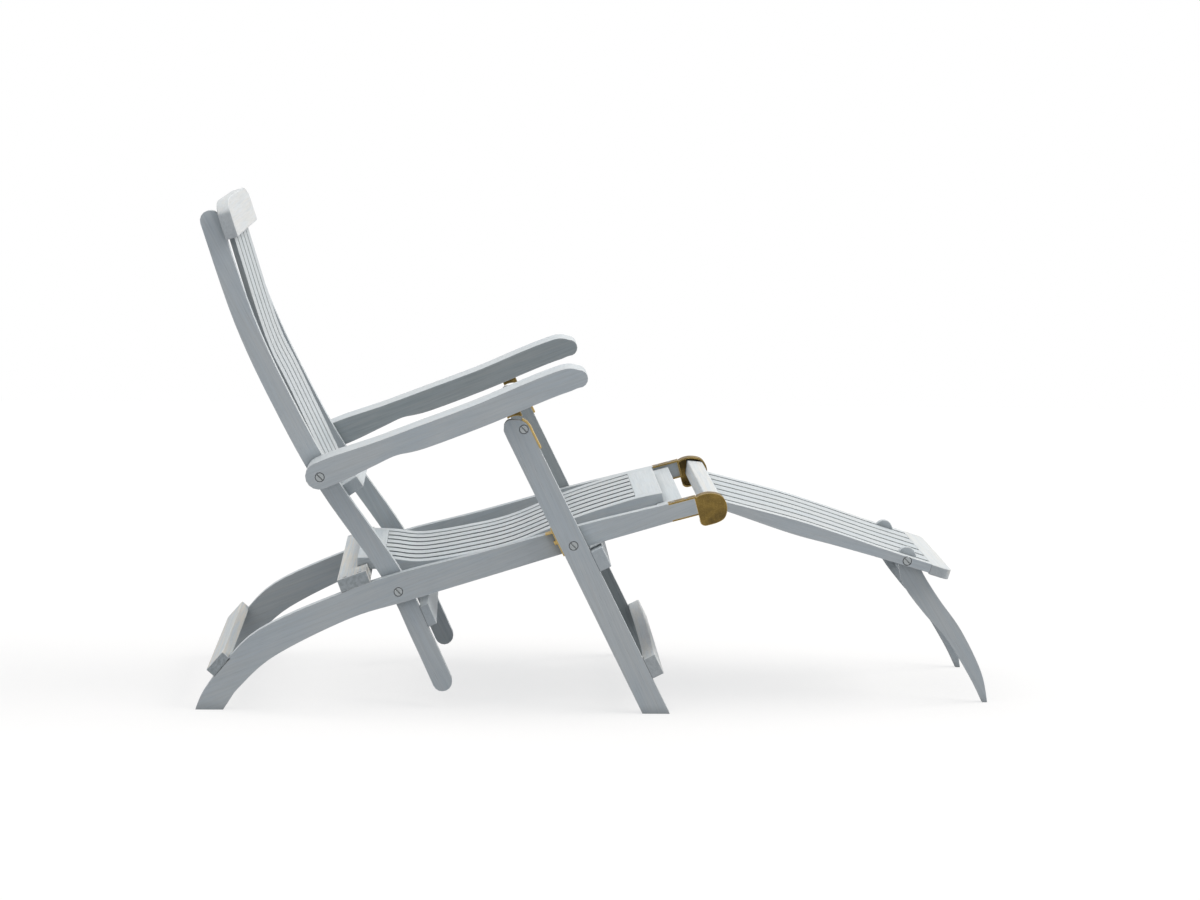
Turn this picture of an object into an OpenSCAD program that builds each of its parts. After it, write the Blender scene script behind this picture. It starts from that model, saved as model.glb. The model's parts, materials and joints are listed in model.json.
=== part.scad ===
// Folding steamer deck chair: slatted seat, reclining back, hinged footrest.
// X runs from the heels of the rails to the footrest, Y across, Z up from the floor.
// Side views are drawn as [x, z] points and drawn out across the chair.

/* [Frame] */
// Width over the outer faces of the front legs
legs_w = 560; // [480:1:640]
// Thickness of rails, uprights and front legs
board_t = 22; // [18:1:26]
// Side clearance between boards that turn past each other
side_gap = 1; // [0.6:0.1:2]
// Length of a side rail along the floor
rail_run = 911; // [860:1:960]
// Height of the rail's front end
rail_rise = 392; // [370:1:410]
// Greatest depth of a side rail
rail_d = 55; // [48:1:60]

/* [Back] */
// Distance of the back pivot in front of the rail's heel
back_pivot_x = 355; // [340:1:370]
// Height of the back pivot
back_pivot_z = 226; // [220:1:232]
// How far the back leans away behind its pivot
back_run = 350; // [300:1:400]
// Height of the uprights above the back pivot
back_rise = 689; // [620:1:740]
// Width of an upright, seen from the side
upright_w = 37; // [30:1:42]
// Number of back slats
back_slats_n = 5; // [3:1:7]
// Width of a back slat
back_slat_w = 58; // [40:1:64]
// Thickness of a back slat
back_slat_t = 10; // [8:0.5:12]
// Gap between two slats, in the back, the seat and the footrest
slat_gap = 14; // [8:1:20]

/* [Crest rail] */
// Height of the crest rail
crest_h = 72; // [60:1:84]
// Thickness of the crest rail
crest_t = 24; // [20:1:28]
// How far the ends of the crest rail pass the uprights
crest_over = 22; // [10:1:30]
// Drop of the crest rail's swept corners
crest_sweep_h = 27; // [10:1:35]
// Length of the crest rail's swept corners
crest_sweep_w = 98; // [60:1:120]

/* [Arms] */
// Width of an arm
arm_w = 87; // [70:1:95]
// Greatest depth of an arm's straight part
arm_d = 43; // [36:1:48]
// Length of an arm from its pivot
arm_run = 492; // [470:1:510]
// Rise of an arm from its pivot
arm_rise = 181; // [176:1:186]

/* [Front legs] */
// Distance of the leg pivot in front of the rail's heel
leg_pivot_x = 681; // [675:1:687]
// Height of the leg pivot
leg_pivot_z = 319; // [316:1:322]
// Height from the round top of a leg's centre to the middle of the arm above it
leg_top_drop = 66.5; // [62:0.5:72]
// Width of a leg, seen from the side
leg_w = 46; // [40:1:50]
// Thickness of the two stretchers
stretcher_t = 24; // [18:1:26]
// Width of the two stretchers
stretcher_w = 41; // [34:1:46]

/* [Seat] */
// Width of the seat panel
seat_w = 352; // [320:1:360]
// Length of the seat panel
seat_run = 579; // [560:1:590]
// Rise of the seat panel
seat_rise = 128; // [126:1:130]
// Width of a side piece of the seat and the footrest
side_w = 28; // [22:1:34]
// Depth of a side piece of the seat
seat_side_d = 22; // [18:1:25]
// Number of seat slats
seat_slats_n = 6; // [4:1:8]
// Thickness of a seat slat
seat_slat_t = 12; // [9:1:15]

/* [Footrest] */
// Width of the footrest
rest_w = 397; // [360:1:410]
// Length of the footrest from its hinge
rest_run = 429; // [400:1:450]
// Drop of the footrest
rest_drop = 121.5; // [110:0.5:130]
// Greatest depth of a footrest side piece
rest_side_d = 27; // [22:1:30]
// Number of footrest slats
rest_slats_n = 5; // [3:1:7]
// Thickness of a footrest leg
rest_leg_t = 12; // [8:1:13]
// Greatest width of a footrest leg
rest_leg_w = 43; // [36:1:46]

/* [Brass and screws] */
// Wall of the brass castings and straps
brass_t = 3; // [2:0.5:4]
// Radius of the hinge casting's cup
cup_r = 34; // [33:0.5:36]
// Diameter of the pivot bolts
bolt_d = 8; // [6:0.5:10]
// Diameter of a bolt head
head_d = 15; // [12:0.5:18]
// Radial clearance of a bolt that turns
turn_gap = 0.08; // [0.05:0.01:0.1]
// Clearance between pieces that pass or rest on one another
rest_gap = 0.3; // [0.2:0.1:0.5]

/* [Hidden] */
$fn = 48;
overrun = 1;
curve_steps = 6;
RIGHT = -1;
LEFT = 1;

paint = [0.62, 0.65, 0.66];
brass = [0.62, 0.49, 0.26];
steel = [0.78, 0.78, 0.76];

// Faces of the layers, measured outwards from the middle of the chair
leg_out = legs_w / 2;
leg_in = leg_out - board_t;
rail_out = leg_in - side_gap;
rail_in = rail_out - board_t;
upright_out = rail_in - side_gap;
upright_in = upright_out - board_t;
arm_in = upright_out + side_gap;
arm_out = arm_in + arm_w;
seat_in = seat_w / 2 - side_w;
rest_out = rest_w / 2;
rest_in = rest_out - side_w;

// Pivots as [x, z], counted from the heel of the rails
back_pivot = [back_pivot_x, back_pivot_z];
leg_pivot = [leg_pivot_x, leg_pivot_z];
arm_eye_shares = [-0.411, 0.3266];
arm_eye = back_pivot + [arm_eye_shares[0] * back_run, arm_eye_shares[1] * back_rise];
hinge_reach = 24;
hinge_drop = 5;
hinge = [rail_run + hinge_reach, rail_rise - hinge_drop];
rest_leg_shares = [0.895, 0.881];
rest_leg_pivot = hinge + [rest_leg_shares[0] * rest_run, -rest_leg_shares[1] * rest_drop];

// Smooth curve through stations [x, z, width], and what lies beside it
function blend(a, b, c, d, t) =
  (2 * b + (c - a) * t + (2 * a - 5 * b + 4 * c - d) * t * t + (3 * b - a - 3 * c + d) * t * t * t) / 2;
function station(s, i) = s[max(0, min(len(s) - 1, i))];
function at(s, u) =
  let (i = max(0, min(len(s) - 2, floor(u))))
  blend(station(s, i - 1), s[i], s[i + 1], station(s, i + 2), u - i);
function heading(s, u) =
  let (step = 1 / curve_steps, a = at(s, max(0, u - step)), b = at(s, min(len(s) - 1, u + step)))
  atan2(b[1] - a[1], b[0] - a[0]);
function beside(s, u, offset) =
  let (p = at(s, u), h = heading(s, u)) [p[0] - offset * sin(h), p[1] + offset * cos(h)];
function steps(s) = [for (k = [0 : (len(s) - 1) * curve_steps]) k / curve_steps];
function back_to_front(v) = [for (i = [len(v) - 1 : -1 : 0]) v[i]];
function edge(s, side) = [for (u = steps(s)) beside(s, u, side * at(s, u)[2] / 2)];
function cap(s, u, from, to) =
  let (p = at(s, u), h = heading(s, u), arc = 8)
  [for (k = [1 : arc - 1]) let (a = h + from + (to - from) * k / arc) [p[0], p[1]] + p[2] / 2 * [cos(a), sin(a)]];
function outline(s, round_start = false, round_end = false) = concat(
  edge(s, 1),
  round_end ? cap(s, len(s) - 1, 90, -90) : [],
  back_to_front(edge(s, -1)),
  round_start ? cap(s, 0, -90, -270) : []
);
// Band of even thickness below the left edge of a curve
function band(s, top, bottom) = concat(
  [for (u = steps(s)) beside(s, u, at(s, u)[2] / 2 - top)],
  back_to_front([for (u = steps(s)) beside(s, u, at(s, u)[2] / 2 - bottom)])
);
function scaled(shares, origin, sizes) =
  [for (p = shares) [origin[0] + p[0] * sizes[0], origin[1] + p[1] * sizes[1], p[2] * sizes[2]]];

// Centre lines of the sawn boards, as shares of their run, rise and width
rail_shares = [
  [-0.01, -0.056, 0.74], [0.001, 0.003, 0.86], [0.0153, 0.063, 0.91], [0.0452, 0.157, 0.9], [0.12, 0.325, 1.04],
  [0.278, 0.504, 0.92], [0.402, 0.601, 0.99], [0.564, 0.71, 0.86], [0.776, 0.857, 0.755], [1, 1, 0.585]
];
upright_shares = [
  [-1, 1, 1], [-0.823, 0.7344, 1], [-0.62, 0.511, 1], [-0.383, 0.2932, 1],
  [-0.044, 0.0464, 1], [0.12, -0.1248, 1], [0.237, -0.2554, 1]
];
back_slat_shares = [[-0.927, 0.995, 1], [-0.737, 0.685, 1], [-0.604, 0.54, 1], [-0.35, 0.268, 1]];
arm_shares = [
  [-0.004, 0.011, 1.16], [0.075, 0.0994, 1.14], [0.199, 0.24, 0.93], [0.274, 0.326, 0.85], [0.376, 0.414, 1],
  [0.598, 0.646, 1], [0.7825, 0.8646, 1.01], [0.87, 0.963, 1], [0.9285, 1.018, 0.977], [0.9651, 1.0275, 0.767]
];
seat_shares = [
  [0, 0, 1], [0.102, -0.008, 1], [0.211, -0.047, 1], [0.368, 0.07, 1], [0.518, 0.242, 1],
  [0.715, 0.617, 1], [0.908, 0.906, 1], [1, 1, 1]
];
rest_shares = [
  [0.026, 0.008, 0.6], [0.096, -0.049, 0.63], [0.38, -0.346, 1], [0.583, -0.551, 0.87],
  [0.797, -0.782, 0.685], [1, -1, 0.63]
];
rest_leg_line_shares = [
  [0.018, 0.018, 0.79], [0.104, -0.141, 1], [0.325, -0.324, 0.92], [0.604, -0.523, 0.756],
  [0.871, -0.794, 0.558], [1, -1, 0.19]
];

rest_leg_toe = 4;
rest_leg_reach = 163;
leg_top_share = 0.6358;
rail_line = scaled(rail_shares, [0, 0], [rail_run, rail_rise, rail_d]);
upright_line = scaled(upright_shares, back_pivot, [back_run, back_rise, upright_w]);
back_slat_line = scaled(back_slat_shares, back_pivot, [back_run, back_rise, back_slat_t]);
arm_line = scaled(arm_shares, arm_eye, [arm_run, arm_rise, arm_d]);
rest_line = scaled(rest_shares, hinge, [rest_run, rest_drop, rest_side_d]);
rest_leg_size = [rest_leg_reach, rest_leg_pivot[1] + rest_leg_toe, rest_leg_w];
rest_leg_line = scaled(rest_leg_line_shares, rest_leg_pivot, rest_leg_size);
arm_over_leg = at(arm_line, leg_top_share * (len(arm_line) - 1));
leg_top = [arm_over_leg[0], arm_over_leg[1] - leg_top_drop];
leg_lean = atan2(leg_pivot[0] - leg_top[0], leg_top[1] - leg_pivot[1]);
leg_axis = [sin(leg_lean), -cos(leg_lean)];
leg_foot = leg_pivot + (leg_pivot_z + leg_w) / cos(leg_lean) * leg_axis;
leg_line = [[leg_top[0], leg_top[1], leg_w], [leg_foot[0], leg_foot[1], leg_w]];

// The origin lies on the floor below the middle of the chair's length
function floor_x(a, b) = a[0] + (b[0] - a[0]) * a[1] / (a[1] - b[1]);
function above(v) = [
  for (i = [0 : len(v) - 1])
    let (a = v[i], b = v[(i + 1) % len(v)])
    each concat(a[1] >= 0 ? [a[0]] : [], a[1] * b[1] < 0 ? [floor_x(a, b)] : [])
];
heel_x = min(above(outline(rail_line)));
toe_x = max(above(outline(rest_leg_line, false, true)));
middle_x = (heel_x + toe_x) / 2;

// Placing
module placed() translate([-middle_x, 0, 0]) children();
module sided(side) mirror([0, side == RIGHT ? 1 : 0, 0]) children();
module across(y0, y1) translate([0, y1, 0]) rotate([90, 0, 0]) linear_extrude(y1 - y0) children();
module rod(p, d, y0, y1) translate([p[0], y0, p[1]]) rotate([-90, 0, 0]) cylinder(d = d, h = y1 - y0);
// Frame on a board's edge, at a share of its length: X along the board, Z outwards from the edge
module on_edge(s, share, side, housed = 0) {
  u = share * (len(s) - 1);
  p = at(s, u);
  translate([p[0], 0, p[1]])
    rotate([0, -heading(s, u), 0])
      translate([0, 0, side * (p[2] / 2 - housed)])
        mirror([0, 0, side < 0 ? 1 : 0])
          children();
}
module plank(length, width, thickness)
  translate([0, 0, thickness / 2]) cube([length, width, thickness], center = true);
module above_floor(y0, y1) {
  intersection() {
    across(y0, y1) children();
    translate([-rail_run, y0 - overrun, 0]) cube([4 * rail_run, y1 - y0 + 2 * overrun, 2 * rail_run]);
  }
}

// Slotted bolt along Y: head outside, shank towards the middle of the chair
head_t = 2.4;
head_rim = 1.5;
slot_w = 2;
slot_deep = 1;
module bolt(p, face, end) {
  difference() {
    union() {
      rod(p, head_d, face - head_t, face);
      rod(p, bolt_d, end, face - head_t);
    }
    translate([p[0], face, p[1]])
      rotate([0, 45, 0]) cube([head_d + overrun, 2 * slot_deep, slot_w], center = true);
  }
}
module bolt_hole(p, face, end) {
  rod(p, head_d + 2 * head_rim, face - head_t - rest_gap, face + overrun);
  rod(p, bolt_d + 2 * turn_gap, end - overrun, face);
}

// Seat frame
foot_bar_share = 0.34;
foot_bar_w = 46;
foot_bar_t = 20;
foot_bar_housed = 1.5;
seat_bar_share = 0.5846;
seat_bar_w = 57;
seat_bar_t = 24;
cross_share = 0.96833;
cross_w = 50;
cross_t = 18;
cross_drop = 7;
module foot_bar_body() on_edge(rail_line, foot_bar_share, 1, foot_bar_housed) plank(foot_bar_w, 2 * rail_out, foot_bar_t);
module seat_bar_body() on_edge(rail_line, seat_bar_share, 1) plank(seat_bar_w, 2 * rail_out, seat_bar_t);
module cross_body() on_edge(rail_line, cross_share, 1, cross_drop + cross_t) plank(cross_w, 2 * rail_in, cross_t);

module side_rail(side) color(paint) placed() {
  sided(side) difference() {
    above_floor(rail_in, rail_out) polygon(outline(rail_line));
    foot_bar_body();
    seat_bar_body();
    strap_seats();
    bolt_hole(back_pivot, rail_out, rail_in);
    rod(leg_pivot, bolt_d + 2 * turn_gap, rail_in - overrun, rail_out + overrun);
  }
}
module rear_foot_bar() color(paint) placed() foot_bar_body();
module rear_seat_bar() color(paint) placed() difference() {
  seat_bar_body();
  for (side = [RIGHT, LEFT]) sided(side) seat_bar_screw_places() screw_hole();
}
module front_cross_member() color(paint) placed() cross_body();

// Countersunk screws that stand on a face
screw_d = 9;
screw_t = 2;
module screw() difference() {
  translate([0, 0, -screw_t]) cylinder(d = screw_d, h = screw_t + rest_gap);
  translate([0, 0, rest_gap]) cube([screw_d + overrun, slot_w / 2, slot_deep], center = true);
}
module screw_hole() translate([0, 0, -screw_t]) cylinder(d = screw_d, h = screw_t + overrun);
module seat_bar_screw_places() {
  for (share = [-0.25, 0.25])
    on_edge(rail_line, seat_bar_share, 1)
      translate([share * seat_bar_w, (rail_in + rail_out) / 2, seat_bar_t]) children();
}
module seat_bar_screws() color(steel) placed()
  for (side = [RIGHT, LEFT]) sided(side) seat_bar_screw_places() screw();

// Hinge castings: a cup with an open inner side, straps along the rail and a spigot
cup_shares = [
  [150, 1], [112, 0.88], [78, 0.88], [48, 0.98], [20, 1], [-6, 1], [-32, 1], [-58, 0.9],
  [-84, 0.89], [-108, 0.98], [-136, 0.86]
];
cheek_t = 4;
strap_len = 50;
spigot_reach = 34;
function cup_outline(inset) = [
  for (u = steps(cup_shares))
    let (p = at(cup_shares, u), r = p[1] * cup_r - inset) hinge + r * [cos(p[0]), sin(p[0])]
];
casting_in = rail_in - 2 * side_gap;
module rail_end() {
  p = at(rail_line, len(rail_line) - 1);
  translate([p[0], 0, p[1]]) rotate([0, -heading(rail_line, len(rail_line) - 1), 0]) children();
}
end_half = rail_line[len(rail_line) - 1][2] / 2;
strap_let = 1.5;
module strap_seats() {
  rail_end()
    for (side = [RIGHT, LEFT])
      mirror([0, 0, side < 0 ? 1 : 0])
        translate([-strap_len, rail_in - overrun, end_half - strap_let])
          cube([strap_len + overrun, board_t + 2 * overrun, brass_t + overrun]);
}
module casting_body() {
  rail_end() {
    for (side = [RIGHT, LEFT])
      mirror([0, 0, side < 0 ? 1 : 0])
        translate([-strap_len, casting_in, end_half - strap_let])
          cube([strap_len + brass_t, rail_out - casting_in, brass_t]);
    translate([0, casting_in, -end_half]) cube([brass_t, rail_out - casting_in, 2 * end_half]);
  }
  difference() {
    across(casting_in, rail_out) polygon(cup_outline(0));
    across(casting_in - overrun, rail_out - cheek_t) polygon(cup_outline(brass_t));
    rail_end()
      translate([-2 * cup_r, casting_in - overrun, -2 * cup_r])
        cube([2 * cup_r, rail_out - casting_in + 2 * overrun, 4 * cup_r]);
  }
  rod(hinge, bolt_d, rail_out - cheek_t - spigot_reach, rail_out - cheek_t);
}
module casting_screw_places() {
  for (share = [-0.82, -0.3], side = [1, -1])
    rail_end()
      mirror([0, 0, side < 0 ? 1 : 0])
        translate([share * strap_len, (rail_in + rail_out) / 2, end_half - strap_let + brass_t]) children();
}
module hinge_casting(side) color(brass) placed() sided(side) difference() {
  casting_body();
  casting_screw_places() screw_hole();
}
module casting_screws() color(steel) placed()
  for (side = [RIGHT, LEFT]) sided(side) casting_screw_places() screw();

module back_pivot_bolts() color(steel) placed()
  for (side = [RIGHT, LEFT]) sided(side) bolt(back_pivot, rail_out, upright_in);

// Seat panel, lying on the rear seat bar and the front cross member
seat_rear_x = 275;
seat_rear_z = 266;
seat_line = scaled(seat_shares, [seat_rear_x, seat_rear_z], [seat_run, seat_rise, seat_side_d]);
seat_board_w = 52;
module seat_cut() {
  seat_bar_body();
  cross_body();
}
module seat_part(y0, y1, bottom, x0, x1) {
  difference() {
    intersection() {
      across(y0, y1) polygon(band(seat_line, 0, bottom));
      translate([x0, y0 - overrun, 0]) cube([x1 - x0, y1 - y0 + 2 * overrun, 2 * rail_rise]);
    }
    seat_cut();
  }
}
seat_front_x = seat_rear_x + seat_run;
seat_slat_w = (2 * seat_in - (seat_slats_n + 1) * slat_gap) / seat_slats_n;
module seat_side(side) color(paint) placed() sided(side)
  seat_part(seat_in, seat_w / 2, seat_side_d, seat_rear_x - seat_board_w, seat_front_x + seat_board_w);
module seat_slats() color(paint) placed()
  for (i = [0 : seat_slats_n - 1]) {
    y = -seat_in + slat_gap + i * (seat_slat_w + slat_gap);
    seat_part(y, y + seat_slat_w, seat_slat_t, seat_rear_x + seat_board_w, seat_front_x - seat_board_w);
  }
module seat_rear_board() color(paint) placed()
  seat_part(-seat_in, seat_in, seat_side_d, seat_rear_x - seat_board_w, seat_rear_x + seat_board_w);
module seat_front_board() color(paint) placed()
  seat_part(-seat_in, seat_in, seat_side_d, seat_front_x - seat_board_w, seat_front_x + seat_board_w);

// Back
crest_share = 0.03917;
crest_below = 10;
tail_bar_share = 0.79167;
tail_bar_w = 42;
tail_bar_t = 18;
lower_rail_reach = 60;
lower_rail_t = 24;
lower_rail_share = 0.52833;
lower_rail_nose = 32;
crest_half = upright_out + crest_over;
function sweep(side) = [
  for (k = [0 : 8]) let (a = side > 0 ? 90 * k / 8 : 90 - 90 * k / 8)
    [crest_h - crest_sweep_h + crest_sweep_h * sin(a), side * (crest_half - crest_sweep_w * (1 - cos(a)))]
];
module crest_shape() polygon(concat([[0, -crest_half], [0, crest_half]], sweep(1), sweep(-1)));
module crest_body()
  on_edge(upright_line, crest_share, 1)
    translate([crest_below, 0, 0]) mirror([1, 0, 0]) linear_extrude(crest_t) crest_shape();
module tail_bar_body() on_edge(upright_line, tail_bar_share, 1) plank(tail_bar_w, 2 * upright_out, tail_bar_t);
module lower_rail_body()
  on_edge(upright_line, lower_rail_share, 1)
    translate([-lower_rail_t / 2, -upright_in, lower_rail_nose - lower_rail_reach])
      cube([lower_rail_t, 2 * upright_in, lower_rail_reach]);
module back_upright(side) color(paint) placed() sided(side) difference() {
  across(upright_in, upright_out) polygon(outline(upright_line, true, true));
  crest_body();
  tail_bar_body();
  rod(back_pivot, bolt_d + 2 * turn_gap, upright_in - overrun, upright_out + overrun);
  rod(arm_eye, bolt_d + 2 * turn_gap, upright_in - overrun, upright_out + overrun);
}
module back_slat_bodies(gap = 0) {
  pitch = back_slat_w + slat_gap;
  for (i = [0 : back_slats_n - 1]) {
    y = (i - (back_slats_n - 1) / 2) * pitch;
    across(y - back_slat_w / 2 - gap, y + back_slat_w / 2 + gap) polygon(outline(back_slat_line));
  }
}
module crest_rail() color(paint) placed() difference() {
  crest_body();
  back_slat_bodies();
}
module lower_back_rail() color(paint) placed() difference() {
  lower_rail_body();
  back_slat_bodies();
}
module back_slats() color(paint) placed() back_slat_bodies();
module tail_bar() color(paint) placed() tail_bar_body();

// Arms
module arm(side) color(paint) placed() sided(side) difference() {
  across(arm_in, arm_out) polygon(outline(arm_line, true, true));
  bolt_hole(arm_eye, arm_out, arm_in);
}
module arm_bolt(side) color(steel) placed() sided(side) bolt(arm_eye, arm_out, upright_in);

// Brass saddle under the arm, seated over the strap on the leg's round top
strap_t = 4;
strap_w = 18;
saddle_share = 0.6125;
saddle_len = 27;
saddle_h = 20;
saddle_play = 2.2;  // room for the leg's rear corner, which swings past while the chair folds
module arm_saddle(side) color(brass) placed() sided(side) difference() {
  on_edge(arm_line, saddle_share, -1, overrun)
    translate([-saddle_len / 2, leg_in, 0]) cube([saddle_len, board_t, saddle_h + overrun]);
  across(arm_in, arm_out) polygon(outline(arm_line, true, true));
  rod(leg_top, leg_head_share * leg_w + 2 * saddle_play, leg_in - overrun, leg_out + overrun);
}

// Front legs
upper_stretcher_share = 0.451;
lower_stretcher_share = 0.744;
scoop = 12;
scoop_block = 40;
leg_screw_share = 0.55;
function scoop_points(half) = [
  for (k = [0 : 12]) let (s = 2 * k / 12 - 1) [-stretcher_w / 2 + scoop * (1 - s * s), s * (half - scoop_block)]
];
module upper_stretcher_body() on_edge(leg_line, upper_stretcher_share, 1) plank(stretcher_w, legs_w, stretcher_t);
module lower_stretcher_body() on_edge(leg_line, lower_stretcher_share, 1)
  linear_extrude(stretcher_t)
    polygon(concat(
      [[stretcher_w / 2, leg_out], [stretcher_w / 2, -leg_out], [-stretcher_w / 2, -leg_out]],
      scoop_points(leg_out),
      [[-stretcher_w / 2, leg_out]]
    ));
// Head of a leg: round in front, squarer behind, as [angle from the leg's run, share of half the width]
leg_head_shares = [[112.5, 1], [135, 1], [160, 1.01], [180, 1.12], [192, 1.23], [204, 1.25], [216, 1.24], [240, 1.13]];
leg_head_share = max([for (p = leg_head_shares) p[1]]);
leg_head = [
  for (p = leg_head_shares) let (a = heading(leg_line, 0) + p[0]) leg_top + p[1] * leg_w / 2 * [cos(a), sin(a)]
];
leg_screw = leg_top + leg_screw_share * leg_w / 2 * [cos(leg_lean), sin(leg_lean)];
module front_leg(side) color(paint) placed() sided(side) difference() {
  above_floor(leg_in, leg_out) polygon(concat(outline(leg_line), back_to_front(leg_head)));
  bolt_hole(leg_pivot, leg_out, leg_in);
  bolt_hole(leg_screw, leg_out, leg_in);
}
module upper_stretcher() color(paint) placed() upper_stretcher_body();
module lower_stretcher() color(paint) placed() lower_stretcher_body();
module leg_pivot_bolts() color(steel) placed()
  for (side = [RIGHT, LEFT]) sided(side) bolt(leg_pivot, leg_out, rail_in);
module leg_top_screws() color(steel) placed()
  for (side = [RIGHT, LEFT]) sided(side) bolt(leg_screw, leg_out, leg_in);

// Strap that wraps the leg's round top and runs down its front edge
strap_down = 46;
module leg_strap_shape() {
  front = heading(leg_line, 0) + 90;
  arc = [for (k = [0 : 2]) let (a = front + 45 * k / 2) [cos(a), sin(a)]];
  inner = leg_w / 2;
  outer = inner + strap_t;
  polygon(concat(
    [leg_top + inner * arc[0] + strap_down * leg_axis],
    [for (p = arc) leg_top + inner * p],
    back_to_front([for (p = arc) leg_top + outer * p]),
    [leg_top + outer * arc[0] + strap_down * leg_axis]
  ));
}
module leg_straps() color(brass) placed()
  for (side = [RIGHT, LEFT]) sided(side)
    across((leg_in + leg_out - strap_w) / 2, (leg_in + leg_out + strap_w) / 2) leg_strap_shape();

// Stop bracket on the leg's rear edge, whose tab comes down on the rail
bracket_share = 0.37;
bracket_len = 58;
bracket_w = 14;
bracket_t = 2.5;
tab_share = 0.84889;
tab_len = 15;
knob_d = 9;
knob_h = 5;
module stop_bracket() {
  mid = (leg_in + leg_out) / 2;
  on_edge(leg_line, bracket_share, -1) {
    translate([-bracket_len / 2, mid - bracket_w / 2, 0]) cube([bracket_len, bracket_w, bracket_t]);
    translate([0, mid, bracket_t]) cylinder(d = knob_d, h = knob_h);
  }
}
module stop_tab() {
  u = tab_share * (len(rail_line) - 1);
  run = [cos(heading(rail_line, u)), sin(heading(rail_line, u))];
  front = [cos(leg_lean), sin(leg_lean)];
  strip = leg_pivot - (leg_w / 2 + bracket_t / 2) * front;
  reach = (front * (strip - beside(rail_line, u, at(rail_line, u)[2] / 2))) / (front * run);
  on_edge(rail_line, tab_share, 1, -rest_gap)
    translate([reach - tab_len, rail_in + board_t / 2, 0]) cube([tab_len, board_t, bracket_t]);
}
module stop_brackets() color(brass) placed()
  for (side = [RIGHT, LEFT]) sided(side) {
    stop_bracket();
    stop_tab();
  }

// Footrest
hinge_bar_back = 9;
hinge_bar_front = 25;
hinge_bar_up = 22;
hinge_bar_down = 8;
hinge_bar_round = 8;
hinge_bar_edge = 2.5;
hinge_bar_tilt = -5;
end_board_w = 41;
end_board_t = 20;
end_board_round = 16;
function arc_corner(c, r, from) = [for (k = [0 : 4]) c + r * [cos(from + 90 * k / 4), sin(from + 90 * k / 4)]];
// Bar section [back, front, bottom, top], most rounded at the top front, where it turns past the cup's rim
function bar_section(b, big, small) = concat(
  arc_corner([b[1] - big, b[3] - big], big, 0),
  arc_corner([b[0] + small, b[3] - small], small, 90),
  arc_corner([b[0] + small, b[2] + small], small, 180),
  arc_corner([b[1] - small, b[2] + small], small, 270)
);
module hinge_bar_body() {
  half = rail_out - cheek_t - rest_gap;
  translate([hinge[0], 0, hinge[1]])
    rotate([0, -hinge_bar_tilt, 0])
      across(-half, half)
        polygon(bar_section(
          [-hinge_bar_back, hinge_bar_front, -hinge_bar_down, hinge_bar_up], hinge_bar_round, hinge_bar_edge
        ));
}
module footrest_hinge_bar() color(paint) placed() difference() {
  hinge_bar_body();
  for (side = [RIGHT, LEFT])
    sided(side) rod(hinge, bolt_d + 2 * turn_gap, rail_out - cheek_t - spigot_reach - rest_gap, rail_out);
}
module footrest_side(side) color(paint) placed() sided(side) difference() {
  across(rest_in, rest_out) polygon(outline(rest_line));
  hinge_bar_body();
  bolt_hole(rest_leg_pivot, rest_out, rest_in);
}
rest_slat_w = (2 * rest_in - (rest_slats_n + 1) * slat_gap) / rest_slats_n;
module footrest_slats() color(paint) placed() difference() {
  for (i = [0 : rest_slats_n - 1]) {
    y = -rest_in + slat_gap + i * (rest_slat_w + slat_gap);
    across(y, y + rest_slat_w) polygon(band(rest_line, 0, seat_slat_t));
  }
  hinge_bar_body();
}
module footrest_end_board() color(paint) placed() {
  s = rest_line;
  end = len(s) - 1;
  p = at(s, end);
  translate([p[0], 0, p[1]])
    rotate([0, -heading(s, end), 0])
      translate([0, 0, p[2] / 2 - end_board_t])
        linear_extrude(end_board_t)
          polygon(concat(
            [[0, rest_out], [0, -rest_out]],
            arc_corner([end_board_w - end_board_round, -rest_out + end_board_round], end_board_round, 270),
            arc_corner([end_board_w - end_board_round, rest_out - end_board_round], end_board_round, 0)
          ));
}
module footrest_leg_screws() color(steel) placed()
  for (side = [RIGHT, LEFT]) sided(side) bolt(rest_leg_pivot, rest_out, rest_leg_in);

// Footrest legs
rest_leg_out = rest_in - side_gap;
rest_leg_in = rest_leg_out - rest_leg_t;
rung_d = 14;
rung_share = 0.3;
module footrest_leg(side) color(paint) placed() sided(side) difference() {
  above_floor(rest_leg_in, rest_leg_out) polygon(outline(rest_leg_line, true, true));
  rod(rest_leg_pivot, bolt_d + 2 * turn_gap, rest_leg_in - overrun, rest_leg_out + overrun);
}
module footrest_leg_rung() color(paint) placed() {
  p = at(rest_leg_line, rung_share * (len(rest_leg_line) - 1));
  rod(p, rung_d, -rest_leg_in, rest_leg_in);
}

side_rail(RIGHT);  // side_rail_right
side_rail(LEFT);  // side_rail_left
rear_foot_bar();
rear_seat_bar();
front_cross_member();
hinge_casting(RIGHT);  // hinge_casting_right
hinge_casting(LEFT);  // hinge_casting_left
casting_screws();
seat_bar_screws();
seat_side(RIGHT);  // seat_side_right
seat_side(LEFT);  // seat_side_left
seat_slats();
seat_rear_board();
seat_front_board();
back_pivot_bolts();
back_upright(RIGHT);  // back_upright_right
back_upright(LEFT);  // back_upright_left
crest_rail();
lower_back_rail();
back_slats();
tail_bar();
arm(RIGHT);  // arm_right
arm(LEFT);  // arm_left
arm_saddle(RIGHT);  // arm_saddle_right
arm_saddle(LEFT);  // arm_saddle_left
arm_bolt(RIGHT);  // arm_bolt_right
arm_bolt(LEFT);  // arm_bolt_left
front_leg(RIGHT);  // front_leg_right
front_leg(LEFT);  // front_leg_left
upper_stretcher();
lower_stretcher();
leg_straps();
leg_top_screws();
stop_brackets();
leg_pivot_bolts();
footrest_hinge_bar();
footrest_side(RIGHT);  // footrest_side_right
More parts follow.
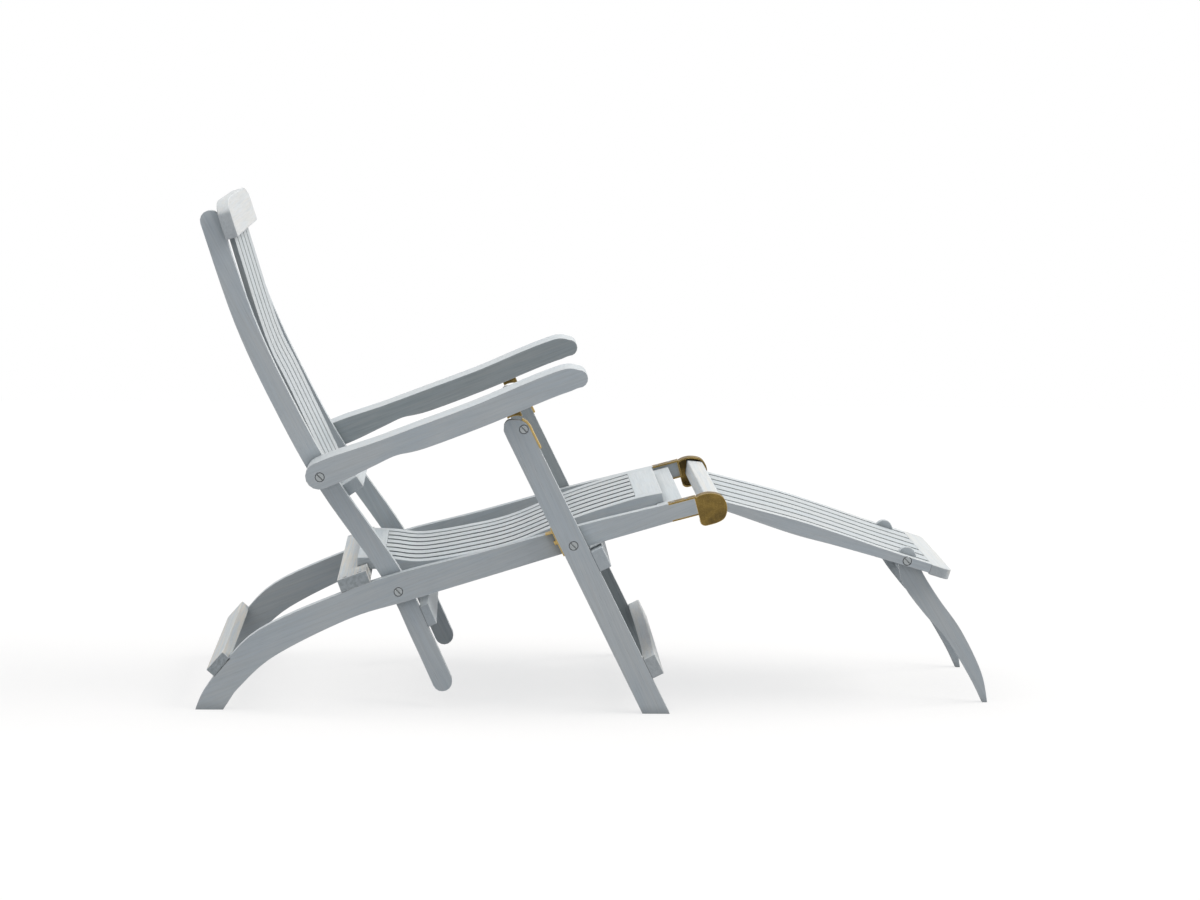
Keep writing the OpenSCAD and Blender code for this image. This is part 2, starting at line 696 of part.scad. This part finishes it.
footrest_side(LEFT);  // footrest_side_left
footrest_slats();
footrest_end_board();
footrest_leg_screws();
footrest_leg(RIGHT);  // footrest_leg_right
footrest_leg(LEFT);  // footrest_leg_left
footrest_leg_rung();
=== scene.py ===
import json
import math

import bpy
import numpy as np
from mathutils import Matrix, Vector

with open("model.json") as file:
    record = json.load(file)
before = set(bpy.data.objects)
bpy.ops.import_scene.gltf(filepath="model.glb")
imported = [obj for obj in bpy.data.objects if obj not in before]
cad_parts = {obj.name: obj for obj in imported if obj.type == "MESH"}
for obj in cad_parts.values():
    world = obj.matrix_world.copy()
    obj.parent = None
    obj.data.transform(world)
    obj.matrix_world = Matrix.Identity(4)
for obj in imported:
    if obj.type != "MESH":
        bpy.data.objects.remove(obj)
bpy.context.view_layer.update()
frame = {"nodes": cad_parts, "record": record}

nodes = frame["nodes"]
record = frame["record"]
print("stage 1: frame loaded,", len(nodes), "nodes")


def linear(red, green, blue):  # screen colour 0 to 255 to scene-linear with alpha
    def one(c):
        c = c / 255
        return c / 12.92 if c <= 0.04045 else ((c + 0.055) / 1.055) ** 2.4
    return (one(red), one(green), one(blue), 1.0)


white = (1.0, 1.0, 1.0, 1.0)
sitterLeft = (0.0, 1.0, 0.0)  # across the chair


class Wire:  # one output socket of a node tree, with arithmetic
    def __init__(self, graph, socket):
        self.graph = graph
        self.socket = socket

    def __add__(self, other):
        return self.graph.maths("ADD", self, other)

    def __radd__(self, other):
        return self.graph.maths("ADD", other, self)

    def __sub__(self, other):
        return self.graph.maths("SUBTRACT", self, other)

    def __rsub__(self, other):
        return self.graph.maths("SUBTRACT", other, self)

    def __mul__(self, other):
        return self.graph.maths("MULTIPLY", self, other)

    def __rmul__(self, other):
        return self.graph.maths("MULTIPLY", other, self)

    def __neg__(self):
        return self.graph.maths("MULTIPLY", self, -1.0)

    def __abs__(self):
        return self.graph.maths("ABSOLUTE", self, 0.0)

    def dot(self, other):
        settings = {"operation": "DOT_PRODUCT"}
        return self.graph.node("ShaderNodeVectorMath", settings, {0: self, 1: other}, "Value")

    def smooth(self, low, high, start=0.0, end=1.0):  # eased ramp between two values
        values = {"Value": self, "From Min": low, "From Max": high, "To Min": start, "To Max": end}
        settings = {"interpolation_type": "SMOOTHSTEP"}
        return self.graph.node("ShaderNodeMapRange", settings, values, "Result")


class Graph:  # fills the node tree of a material, the world or a modifier
    def __init__(self, tree):
        self.tree = tree
        self.tree.nodes.clear()
        self.count = 0

    def node(self, kind, settings, values, out=0):  # settings first, then values and links
        item = self.tree.nodes.new(kind)
        item.location = (self.count % 10 * 200, self.count // 10 * -280)  # rows of ten
        self.count += 1
        for key, value in settings.items():
            setattr(item, key, value)
        for key, value in values.items():
            socket = item.inputs[key]
            if isinstance(value, Wire):
                self.tree.links.new(value.socket, socket)
            else:
                socket.default_value = value
        return Wire(self, item.outputs[out]) if item.outputs else None

    def maths(self, operation, first, second):
        settings = {"operation": operation}
        kinds = [v.socket.type for v in (first, second) if isinstance(v, Wire)]
        if "VECTOR" not in kinds:
            return self.node("ShaderNodeMath", settings, {0: first, 1: second}, "Value")
        pair = [(v, v, v) if isinstance(v, (int, float)) else v for v in (first, second)]
        return self.node("ShaderNodeVectorMath", settings, dict(enumerate(pair)), "Vector")

    def mix(self, factor, first, second):  # two colours
        settings = {"data_type": "RGBA", "blend_type": "MIX", "clamp_factor": True}
        return self.node("ShaderNodeMix", settings, {0: factor, 6: first, 7: second}, 2)

    def vector(self, x, y, z):
        return self.node("ShaderNodeCombineXYZ", {}, {0: x, 1: y, 2: z}, "Vector")

    def noise(self, place, scale, detail, rough=0.55, distort=0.0):
        values = {"Vector": place, "Scale": scale, "Detail": detail}
        values.update({"Roughness": rough, "Distortion": distort})
        return self.node("ShaderNodeTexNoise", {"noise_dimensions": "3D"}, values, "Fac")

    def grain(self, board, along, over, detail, rough):  # noise drawn out along a board
        run, across, depth = board
        return self.noise(self.vector(run * along, across * over, depth * over), 1.0, detail, rough)

    def edges(self, radius):  # 0 on a flat face, towards 1 where faces meet
        soft = self.node("ShaderNodeBevel", {"samples": 6}, {"Radius": radius}, "Normal")
        face = self.node("ShaderNodeNewGeometry", {}, {}, "Normal")
        turned = 1.0 - soft.dot(face)
        return turned.smooth(0.004, 0.16)  # from a turn of 5 degrees to one of 33

    def hollows(self, distance):  # 1 in the open, less in corners
        values = {"Color": white, "Distance": distance}
        return self.node("ShaderNodeAmbientOcclusion", {"samples": 8}, values, "AO")

    def seen(self):  # 1 where the camera looks, also through glass or in a reflection
        camera = self.node("ShaderNodeLightPath", {}, {}, "Is Camera Ray")
        path = camera.socket.node.outputs
        return camera + Wire(self, path["Is Glossy Ray"]) + Wire(self, path["Is Transmission Ray"])

    def bump(self, height, strength, distance):
        values = {"Strength": strength, "Distance": distance, "Height": height}
        return self.node("ShaderNodeBump", {}, values, "Normal")

    def shader(self, varying, constants):
        return self.node("ShaderNodeBsdfPrincipled", {}, {**constants, **varying}, "BSDF")


def shaderGraph(owner):  # empty graph of a new material, or of the world
    owner.use_nodes = True
    return Graph(owner.node_tree)


def layered(weights, **layers):  # sum of layers, each times its weight
    return sum(layers[key] * weight for key, weight in weights.items())


# Painted timber: two coats of grey over an open grain, rubbed thin along the edges, with a painted
# highlight on the edges and painted shade in corners, on slat sides and on inward faces
timberLook = {
    "paint": linear(200, 209, 216),
    "paintWarm": linear(207, 213, 217),
    "paintDeep": linear(187, 197, 203),
    # the colour of rubbed edges, with a painted highlight in it
    "rubbedAndLit": linear(224, 225, 226),
    "underneath": linear(186, 174, 156),
    "cream": linear(221, 214, 202),
    "grimeAndShade": linear(136, 144, 147),
    "shadow": linear(112, 119, 122),
    "insideShade": 0.28,  # painted shade: how much greyer the faces are that look inwards
    "insideShadeArms": 0.66,  # and those of the arms and front legs
    "slatShade": 0.15,  # painted shade: how much greyer the slats are, and how much more on their sides
    "slatSideShade": 0.68,
    "roughness": 0.52,
    "gloss": {"Metallic": 0.0, "IOR": 1.46, "Specular IOR Level": 0.4},
    "uneven": {"clouds": 0.22, "fine": 0.12, "pores": 0.12, "wear": -0.08},  # roughness
    "relief": {"fine": 0.5, "broad": 0.55, "brush": 0.2, "pores": -0.5},
    "grainBump": 0.4,
    "grainDepth": 0.0006,
    "wearRadius": 0.0035,
    "cornerReach": {"board": 0.018, "slats": 0.032},  # how far the painted shade reaches out of corners
    "cornerShade": {"board": 0.75, "slats": 0.9},
    "thin": 0.14,  # how far the paint has thinned on a usual board, from 0 to 1
    "worn": {  # and on those that feet and weather reach
        "rear_foot_bar": 1.0,
        "rear_seat_bar": 0.9,
        "footrest_end_board": 0.35,
        "lower_stretcher": 0.5,
        "crest_rail": 0.3,
        "footrest_hinge_bar": 0.5,
    },
    "pale": {  # boards lightened towards the rubbed and lit colour
        "crest_rail": 0.45,
        "footrest_end_board": 0.25,
        "footrest_hinge_bar": 0.2,
        "lower_stretcher": 0.3,
    },
    "waver": 0.012,  # how far the grain strays from a straight line
    "pieceShift": (1.31, 0.17),  # moves the grain on from one node to the next
    "boardShift": (3.7, 0.9),  # and from board to board within a node
    "grain": {  # lines per metre along and over a board, or spots per metre
        "drift": {"along": 2.2, "over": 14.0, "detail": 3.0, "rough": 0.55},
        "fine": {"along": 9.0, "over": 330.0, "detail": 4.0, "rough": 0.6},
        "broad": {"along": 3.0, "over": 72.6, "detail": 3.0, "rough": 0.5},
        "pores": {"along": 42.0, "over": 627.0, "detail": 1.0, "rough": 0.55},
        "brush": {"along": 5.0, "over": 640.0, "detail": 2.0, "rough": 0.55},
        "streaks": {"along": 4.0, "over": 150.0, "detail": 4.0, "rough": 0.6},
        "clouds": {"scale": 7.0, "detail": 4.0, "rough": 0.6, "distort": 0.4},
        "scuffs": {"scale": 46.0, "detail": 5.0, "rough": 0.65},
    },
    "ramps": {  # where each mark starts to show, and where it shows in full
        "broad": (0.3, 0.75),
        "fine": (0.35, 0.7),
        "pores": (0.6, 0.75),
        "streaks": (0.4, 0.62),
        "clouds": (0.3, 0.7),
        "scuffs": (0.36, 0.62),
        "bareEdge": (0.55, 1.0),
        "bareSpots": (0.64, 0.7),
        "inwards": (0.05, 0.2),
        "slatSideShade": (0.35, 0.8),
        "endGrain": (0.8, 0.95),
    },
    "show": {  # how strongly each mark shows
        "broad": 0.24,
        "boards": 0.2,  # from one board to the next
        "fine": 0.15,
        "pores": 0.06,
        "wornPores": 0.24,
        "endGrain": 0.05,
        "wornEnd": 0.3,
        "wornEndStreaks": 0.35,
        "cream": 0.7,
        "rubbedAndLit": 0.75,
        "bare": 0.55,
    },
}


def boardAxes(name):  # the way a node's boards were sawn, and two directions square to it
    slant = Vector((0.31, 0.87, 0.39))  # no board runs this way
    points = np.array([v.co for v in nodes[name].data.vertices], float)
    spread = np.cov((points - points.mean(0)).T)
    along = Vector(np.linalg.eigh(spread)[1][:, 2])
    along.normalize()
    side = along.cross(slant)
    side.normalize()
    return tuple(along), tuple(side), tuple(along.cross(side))


def paintedTimber(name, seed):
    material = bpy.data.materials.new("painted_" + name)
    graph = shaderGraph(material)
    look = timberLook
    grain, ramps, show = look["grain"], look["ramps"], look["show"]
    form = "slats" if "slats" in name else "board"
    along, side, face = boardAxes(name)
    place = graph.node("ShaderNodeTexCoord", {}, {}, "Object")
    outwards = graph.node("ShaderNodeTexCoord", {}, {}, "Normal")
    island = graph.node("ShaderNodeNewGeometry", {}, {}, "Random Per Island")
    run = place.dot(along) + island * look["boardShift"][0] + seed * look["pieceShift"][0]
    across = place.dot(side) + island * look["boardShift"][1]
    depth = place.dot(face) + seed * look["pieceShift"][1]

    drift = graph.grain((run, across, depth), **grain["drift"])
    bent = (run, across + drift * look["waver"], depth)
    fine = graph.grain(bent, **grain["fine"])
    broad = graph.grain(bent, **grain["broad"])
    pores = graph.grain(bent, **grain["pores"]).smooth(*ramps["pores"])
    streaks = graph.grain(bent, **grain["streaks"]).smooth(*ramps["streaks"])
    brush = graph.grain((run, across, depth), **grain["brush"])
    spot = graph.vector(run, across, depth)
    clouds = graph.noise(spot, **grain["clouds"])
    scuffs = graph.noise(spot, **grain["scuffs"])

    # painted shade on the faces that look in towards the middle of the chair, strongest on the arms
    # and front legs
    inwards = (-place.dot(sitterLeft) * outwards.dot(sitterLeft)).smooth(*ramps["inwards"])
    insideShade = look["insideShadeArms"] if name.startswith(("arm_", "front_leg")) else look["insideShade"]
    endGrain = abs(outwards.dot(along)).smooth(*ramps["endGrain"])
    thin = look["worn"].get(name, look["thin"])
    edge = graph.edges(look["wearRadius"])
    # edge wear, partly a painted highlight along the edges
    wear = edge * scuffs.smooth(*ramps["scuffs"])
    bare = edge.smooth(*ramps["bareEdge"]) * scuffs.smooth(*ramps["bareSpots"])
    # painted shade in corners and between parts
    corners = 1.0 - graph.hollows(look["cornerReach"][form])

    paint = graph.mix(clouds.smooth(*ramps["clouds"]), look["paint"], look["paintWarm"])
    if form == "slats":  # painted shade: every slat a little darker, its narrow sides much darker
        shadedSides = abs(outwards.dot(sitterLeft)).smooth(*ramps["slatSideShade"])
        paint = graph.mix(look["slatShade"] + shadedSides * look["slatSideShade"], paint, look["shadow"])
    if name in look["pale"]:
        paint = graph.mix(look["pale"][name], paint, look["rubbedAndLit"])
    deep = broad.smooth(*ramps["broad"]) * show["broad"] + (island - 0.5) * show["boards"]
    paint = graph.mix(deep, paint, look["paintDeep"])
    # fine dust marks, with the painted shade of the inward faces
    dustAndShade = fine.smooth(*ramps["fine"]) * show["fine"] + inwards * insideShade
    paint = graph.mix(dustAndShade, paint, look["grimeAndShade"])
    sawn = show["endGrain"] + thin * (show["wornEnd"] + show["wornEndStreaks"] * streaks)
    paint = graph.mix(endGrain * sawn, paint, look["grimeAndShade"])
    paint = graph.mix(pores * (show["pores"] + show["wornPores"] * thin), paint, look["grimeAndShade"])
    paint = graph.mix(streaks * (1.0 - endGrain) * thin * show["cream"], paint, look["cream"])
    # edge wear and painted highlight on the edges
    paint = graph.mix(wear * show["rubbedAndLit"], paint, look["rubbedAndLit"])
    paint = graph.mix(bare * show["bare"], paint, look["underneath"])
    paint = graph.mix(corners * look["cornerShade"][form], paint, look["shadow"])

    uneven = layered(look["uneven"], clouds=clouds - 0.5, fine=fine - 0.5, pores=pores, wear=wear)
    height = layered(look["relief"], fine=fine, broad=broad, brush=brush, pores=pores)
    varying = {
        "Base Color": paint,
        "Roughness": look["roughness"] + uneven,
        "Normal": graph.bump(height, look["grainBump"], look["grainDepth"]),
    }
    surface = graph.shader(varying, look["gloss"])
    graph.node("ShaderNodeOutputMaterial", {}, {"Surface": surface})
    return material


# Cast brass: sand-cast skin gone brown, bright where hands and boards rub it, with a painted
# highlight along its edges
brassLook = {
    "skin": linear(131, 109, 58),
    "tarnish": linear(96, 79, 42),
    "bright": linear(218, 190, 126),
    "verdigris": linear(112, 106, 66),
    "polished": {"stop_brackets": 0.5, "leg_straps": 0.65},
    "patches": {"scale": 34.0, "detail": 4.0, "rough": 0.6, "distort": 0.2},
    "sand": {"scale": 700.0, "detail": 4.0, "rough": 0.65},
    "scratches": (1500.0, 90.0, 420.0),  # per metre along each axis
    "ramps": {
        "tarnish": (0.32, 0.7),
        "darkSand": (0.5, 0.68),
        "brightSand": (0.46, 0.3),
        "verdigris": (0.5, 0.7),
        "scratches": (0.66, 0.78),
        "metal": (0.4, 0.8, 0.9, 0.7),  # how metallic it is, from clean skin to dull patches
    },
    "show": {"darkSand": 0.6, "brightSand": 0.28, "verdigris": 0.6, "edge": 0.8, "scratches": 0.35},
    "roughness": 0.38,
    "gloss": {"IOR": 1.45},
    "uneven": {"patches": 0.24, "edge": -0.12, "sand": 0.12},
    "relief": {"sand": 0.6, "patches": 0.5, "scratches": 0.2},
    "castBump": 0.3,
    "castDepth": 0.0003,
    "wearRadius": 0.0024,
    "cornerReach": 0.008,
    "pieceShift": (0.7, 0.0, 0.3),
}


def agedBrass(name, seed):
    material = bpy.data.materials.new("brass_" + name)
    graph = shaderGraph(material)
    look = brassLook
    ramps, show = look["ramps"], look["show"]
    shift = tuple(seed * step for step in look["pieceShift"])
    place = graph.node("ShaderNodeTexCoord", {}, {}, "Object") + shift
    patches = graph.noise(place, **look["patches"])
    sand = graph.noise(place, **look["sand"])
    scratches = graph.noise(place * look["scratches"], 1.0, 2.0)
    edge = graph.edges(look["wearRadius"])
    corners = 1.0 - graph.hollows(look["cornerReach"])

    skin = graph.mix(patches.smooth(*ramps["tarnish"]), look["skin"], look["tarnish"])
    skin = graph.mix(sand.smooth(*ramps["darkSand"]) * show["darkSand"], skin, look["tarnish"])
    skin = graph.mix(sand.smooth(*ramps["brightSand"]) * show["brightSand"], skin, look["bright"])
    if name in look["polished"]:
        skin = graph.mix(look["polished"][name], skin, look["bright"])
    green = corners * patches.smooth(*ramps["verdigris"]) * show["verdigris"]
    skin = graph.mix(green, skin, look["verdigris"])
    # edge wear and scratches, and a painted highlight along the edges
    rubbedAndLit = edge * show["edge"] + scratches.smooth(*ramps["scratches"]) * show["scratches"]
    skin = graph.mix(rubbedAndLit, skin, look["bright"])

    uneven = layered(look["uneven"], patches=patches, edge=edge, sand=sand - 0.5)
    height = layered(look["relief"], sand=sand, patches=patches, scratches=scratches)
    varying = {
        "Base Color": skin,
        "Roughness": look["roughness"] + uneven,
        "Metallic": patches.smooth(*ramps["metal"]),
        "Normal": graph.bump(height, look["castBump"], look["castDepth"]),
    }
    surface = graph.shader(varying, look["gloss"])
    graph.node("ShaderNodeOutputMaterial", {}, {"Surface": surface})
    return material


# Turned steel: fine rings round the screw, painted shade in the slot
steelLook = {
    "metal": linear(158, 163, 165),
    "dull": linear(120, 122, 122),
    "slotShade": linear(40, 41, 42),
    "blotch": {"scale": 160.0, "detail": 4.0, "rough": 0.6},
    "rings": (4200.0, 300.0, 4200.0),  # per metre along each axis
    "ramps": {"dull": (0.45, 0.75), "slotShade": (0.12, 0.42)},
    "dullShare": 0.3,
    "roughness": 0.3,
    "gloss": {"Metallic": 1.0, "IOR": 1.5},
    "uneven": {"blotch": 0.25, "edge": -0.08},
    "relief": {"rings": 0.5, "blotch": 0.5},
    "turnedBump": 0.18,
    "turnedDepth": 0.0001,
    "wearRadius": 0.0007,
    "slotShadeReach": 0.006,
    "pieceShift": (0.37, 0.0, 0.0),
}


def turnedSteel(name, seed):
    material = bpy.data.materials.new("steel_" + name)
    graph = shaderGraph(material)
    look = steelLook
    shift = tuple(seed * step for step in look["pieceShift"])
    place = graph.node("ShaderNodeTexCoord", {}, {}, "Object") + shift
    blotch = graph.noise(place, **look["blotch"])
    rings = graph.noise(place * look["rings"], 1.0, 2.0)
    edge = graph.edges(look["wearRadius"])
    corners = 1.0 - graph.hollows(look["slotShadeReach"])
    spots = blotch.smooth(*look["ramps"]["dull"]) * look["dullShare"]
    metal = graph.mix(spots, look["metal"], look["dull"])
    # painted shade in the screw slot
    metal = graph.mix(corners.smooth(*look["ramps"]["slotShade"]), metal, look["slotShade"])
    uneven = layered(look["uneven"], blotch=blotch, edge=edge)
    height = layered(look["relief"], rings=rings, blotch=blotch)
    varying = {
        "Base Color": metal,
        "Roughness": look["roughness"] + uneven,
        "Normal": graph.bump(height, look["turnedBump"], look["turnedDepth"]),
    }
    surface = graph.shader(varying, look["gloss"])
    graph.node("ShaderNodeOutputMaterial", {}, {"Surface": surface})
    return material


# Edge rounding of each kind of piece: width in metres, and how many steps
rounding = {
    "painted_wood": (0.0019, 3),
    "slats": (0.0014, 3),
    "brass": (0.0005, 3),
    "steel": (0.0003, 2),
    "weldDistance": 0.00001,
    "flatAngle": 0.4,  # degrees, under which faces count as one
    "smoothAngle": 38.0,  # degrees, over which an edge is rounded
}


def smoothing():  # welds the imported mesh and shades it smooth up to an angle
    group = bpy.data.node_groups.new("weldAndSmooth", "GeometryNodeTree")
    for way in ("INPUT", "OUTPUT"):
        group.interface.new_socket("Geometry", in_out=way, socket_type="NodeSocketGeometry")
    graph = Graph(group)
    limit = math.radians(rounding["smoothAngle"])
    angle = graph.node("GeometryNodeInputMeshEdgeAngle", {}, {}, "Unsigned Angle")
    compare = {"data_type": "FLOAT", "operation": "LESS_THAN"}
    flat = graph.node("FunctionNodeCompare", compare, {0: angle, 1: limit}, "Result")
    mesh = graph.node("NodeGroupInput", {}, {})
    weld = {"Geometry": mesh, "Distance": rounding["weldDistance"]}
    mesh = graph.node("GeometryNodeMergeByDistance", {}, weld, "Geometry")
    plain = {"Geometry": mesh, "Name": "custom_normal"}
    mesh = graph.node("GeometryNodeRemoveAttribute", {}, plain, "Geometry")
    faces = {"Geometry": mesh}
    mesh = graph.node("GeometryNodeSetShadeSmooth", {"domain": "FACE"}, faces, "Geometry")
    edges = {"Geometry": mesh, "Shade Smooth": flat}
    mesh = graph.node("GeometryNodeSetShadeSmooth", {"domain": "EDGE"}, edges, "Geometry")
    graph.node("NodeGroupOutput", {}, {0: mesh})
    return group


smoothGroup = smoothing()


def soften(piece, width, steps):
    weld = piece.modifiers.new("weldAndSmooth", "NODES")
    weld.node_group = smoothGroup
    flatten = piece.modifiers.new("joinFlatFaces", "DECIMATE")
    flatten.decimate_type = "DISSOLVE"
    flatten.angle_limit = math.radians(rounding["flatAngle"])
    bevel = piece.modifiers.new("roundEdges", "BEVEL")
    bevel.width = width
    bevel.segments = steps
    bevel.limit_method = "ANGLE"
    bevel.angle_limit = math.radians(rounding["smoothAngle"])
    bevel.harden_normals = True
    bevel.miter_outer = "MITER_ARC"


slotOf = {part["node"]: part["material_slot"] for part in record["subparts"]}
makers = {"painted_wood": paintedTimber, "brass": agedBrass, "steel": turnedSteel}
for seed, name in enumerate(sorted(nodes)):
    piece = nodes[name]
    kind = slotOf[name]
    piece.data.materials.clear()
    piece.data.materials.append(makers[kind](name, seed))
    soften(piece, *rounding["slats" if "slats" in name else kind])
print("stage 2: materials and rounded edges on every node")


# Studio: pale floor, white surround, a wide soft lamp ahead and one behind, soft fill
studio = {
    "floorSize": 9.0,
    "floor": linear(246, 246, 247),
    "floorBounce": linear(164, 165, 167),  # what the floor throws back up at the chair
    "floorMottle": {"scale": 3.0, "detail": 3.0},
    "floorRoughness": 0.8,
    "floorUneven": 0.1,
    "shadowKept": 0.32,  # share of the floor's shading that the camera sees
    "fill": 0.4,
    "fillColour": (0.93, 0.98, 1.04, 1.0),
    "lampColour": (1.0, 0.95, 0.885),
    "spread": 52.0,  # degrees
    "lamps": {"front": (2.28, (0.75, 0.0, 0.66)), "rear": (1.22, (-0.5, 0.04, 0.86))},
}


def floorMaterial():
    material = bpy.data.materials.new("studio_floor")
    graph = shaderGraph(material)
    seen = graph.seen()
    place = graph.node("ShaderNodeTexCoord", {}, {}, "Object")
    mottle = graph.noise(place, **studio["floorMottle"])
    colour = graph.mix(seen, studio["floorBounce"], studio["floor"])
    rough = studio["floorRoughness"] + mottle * studio["floorUneven"]
    shaded = graph.shader({"Base Color": colour, "Roughness": rough}, {"Specular IOR Level": 0.0})
    plain = graph.node("ShaderNodeEmission", {}, {"Color": white, "Strength": 1.0}, "Emission")
    factor = seen * (1 - studio["shadowKept"])
    both = graph.node("ShaderNodeMixShader", {}, {0: factor, 1: shaded, 2: plain}, "Shader")
    graph.node("ShaderNodeOutputMaterial", {}, {"Surface": both})
    return material


def makeFloor():
    half = studio["floorSize"] / 2
    mesh = bpy.data.meshes.new("studio_floor")
    corners = [(-half, -half, 0), (half, -half, 0), (half, half, 0), (-half, half, 0)]
    mesh.from_pydata(corners, [], [(0, 1, 2, 3)])
    floor = bpy.data.objects.new("studio_floor", mesh)
    bpy.context.scene.collection.objects.link(floor)
    floor.data.materials.append(floorMaterial())


def makeSurround():  # white where it is seen, a soft fill where it only lights
    world = bpy.data.worlds.new("studio")
    graph = shaderGraph(world)
    fill = {"Color": studio["fillColour"], "Strength": studio["fill"]}
    soft = graph.node("ShaderNodeBackground", {}, fill, "Background")
    plain = graph.node("ShaderNodeBackground", {}, {"Color": white, "Strength": 1.0}, "Background")
    both = graph.node("ShaderNodeMixShader", {}, {0: graph.seen(), 1: soft, 2: plain}, "Shader")
    graph.node("ShaderNodeOutputWorld", {}, {"Surface": both})
    bpy.context.scene.world = world


def makeLights():
    for name, (strength, source) in studio["lamps"].items():
        light = bpy.data.lights.new("studio_" + name, "SUN")
        light.energy = strength
        light.color = studio["lampColour"]
        light.angle = math.radians(studio["spread"])
        lamp = bpy.data.objects.new("studio_" + name, light)
        lamp.rotation_euler = Vector(source).to_track_quat("Z", "Y").to_euler()
        bpy.context.scene.collection.objects.link(lamp)


makeFloor()
makeSurround()
makeLights()
print("stage 3: floor, surround and light")


# Camera: placed by matching near and far pairs of points of the chair
shot = {
    "place": (-0.25178, -5.8970, 1.26718),
    "yaw": -0.04431,
    "pitch": 0.13564,
    "roll": 0.013305,
    "lens": 91.71,
    "sensor": 36.0,
    "clipEnd": 60.0,
}


def makeCamera():
    camera = bpy.data.cameras.new("camera")
    camera.lens = shot["lens"]
    camera.sensor_width = shot["sensor"]
    camera.sensor_fit = "HORIZONTAL"
    camera.clip_end = shot["clipEnd"]
    eye = bpy.data.objects.new("camera", camera)
    bpy.context.scene.collection.objects.link(eye)
    yaw, pitch, roll = shot["yaw"], shot["pitch"], shot["roll"]
    right = Vector((math.cos(yaw), math.sin(yaw), 0))
    level = Vector((-math.sin(yaw), math.cos(yaw), 0))
    ahead = math.cos(pitch) * level - math.sin(pitch) * Vector((0, 0, 1))
    up = math.sin(pitch) * level + math.cos(pitch) * Vector((0, 0, 1))
    rolledRight = math.cos(roll) * right + math.sin(roll) * up
    rolledUp = -math.sin(roll) * right + math.cos(roll) * up
    turn = Matrix((rolledRight, rolledUp, -ahead)).transposed().to_4x4()
    eye.matrix_world = Matrix.Translation(shot["place"]) @ turn
    bpy.context.scene.camera = eye


makeCamera()
bpy.context.scene.view_settings.view_transform = "Standard"
print("stage 4: camera")
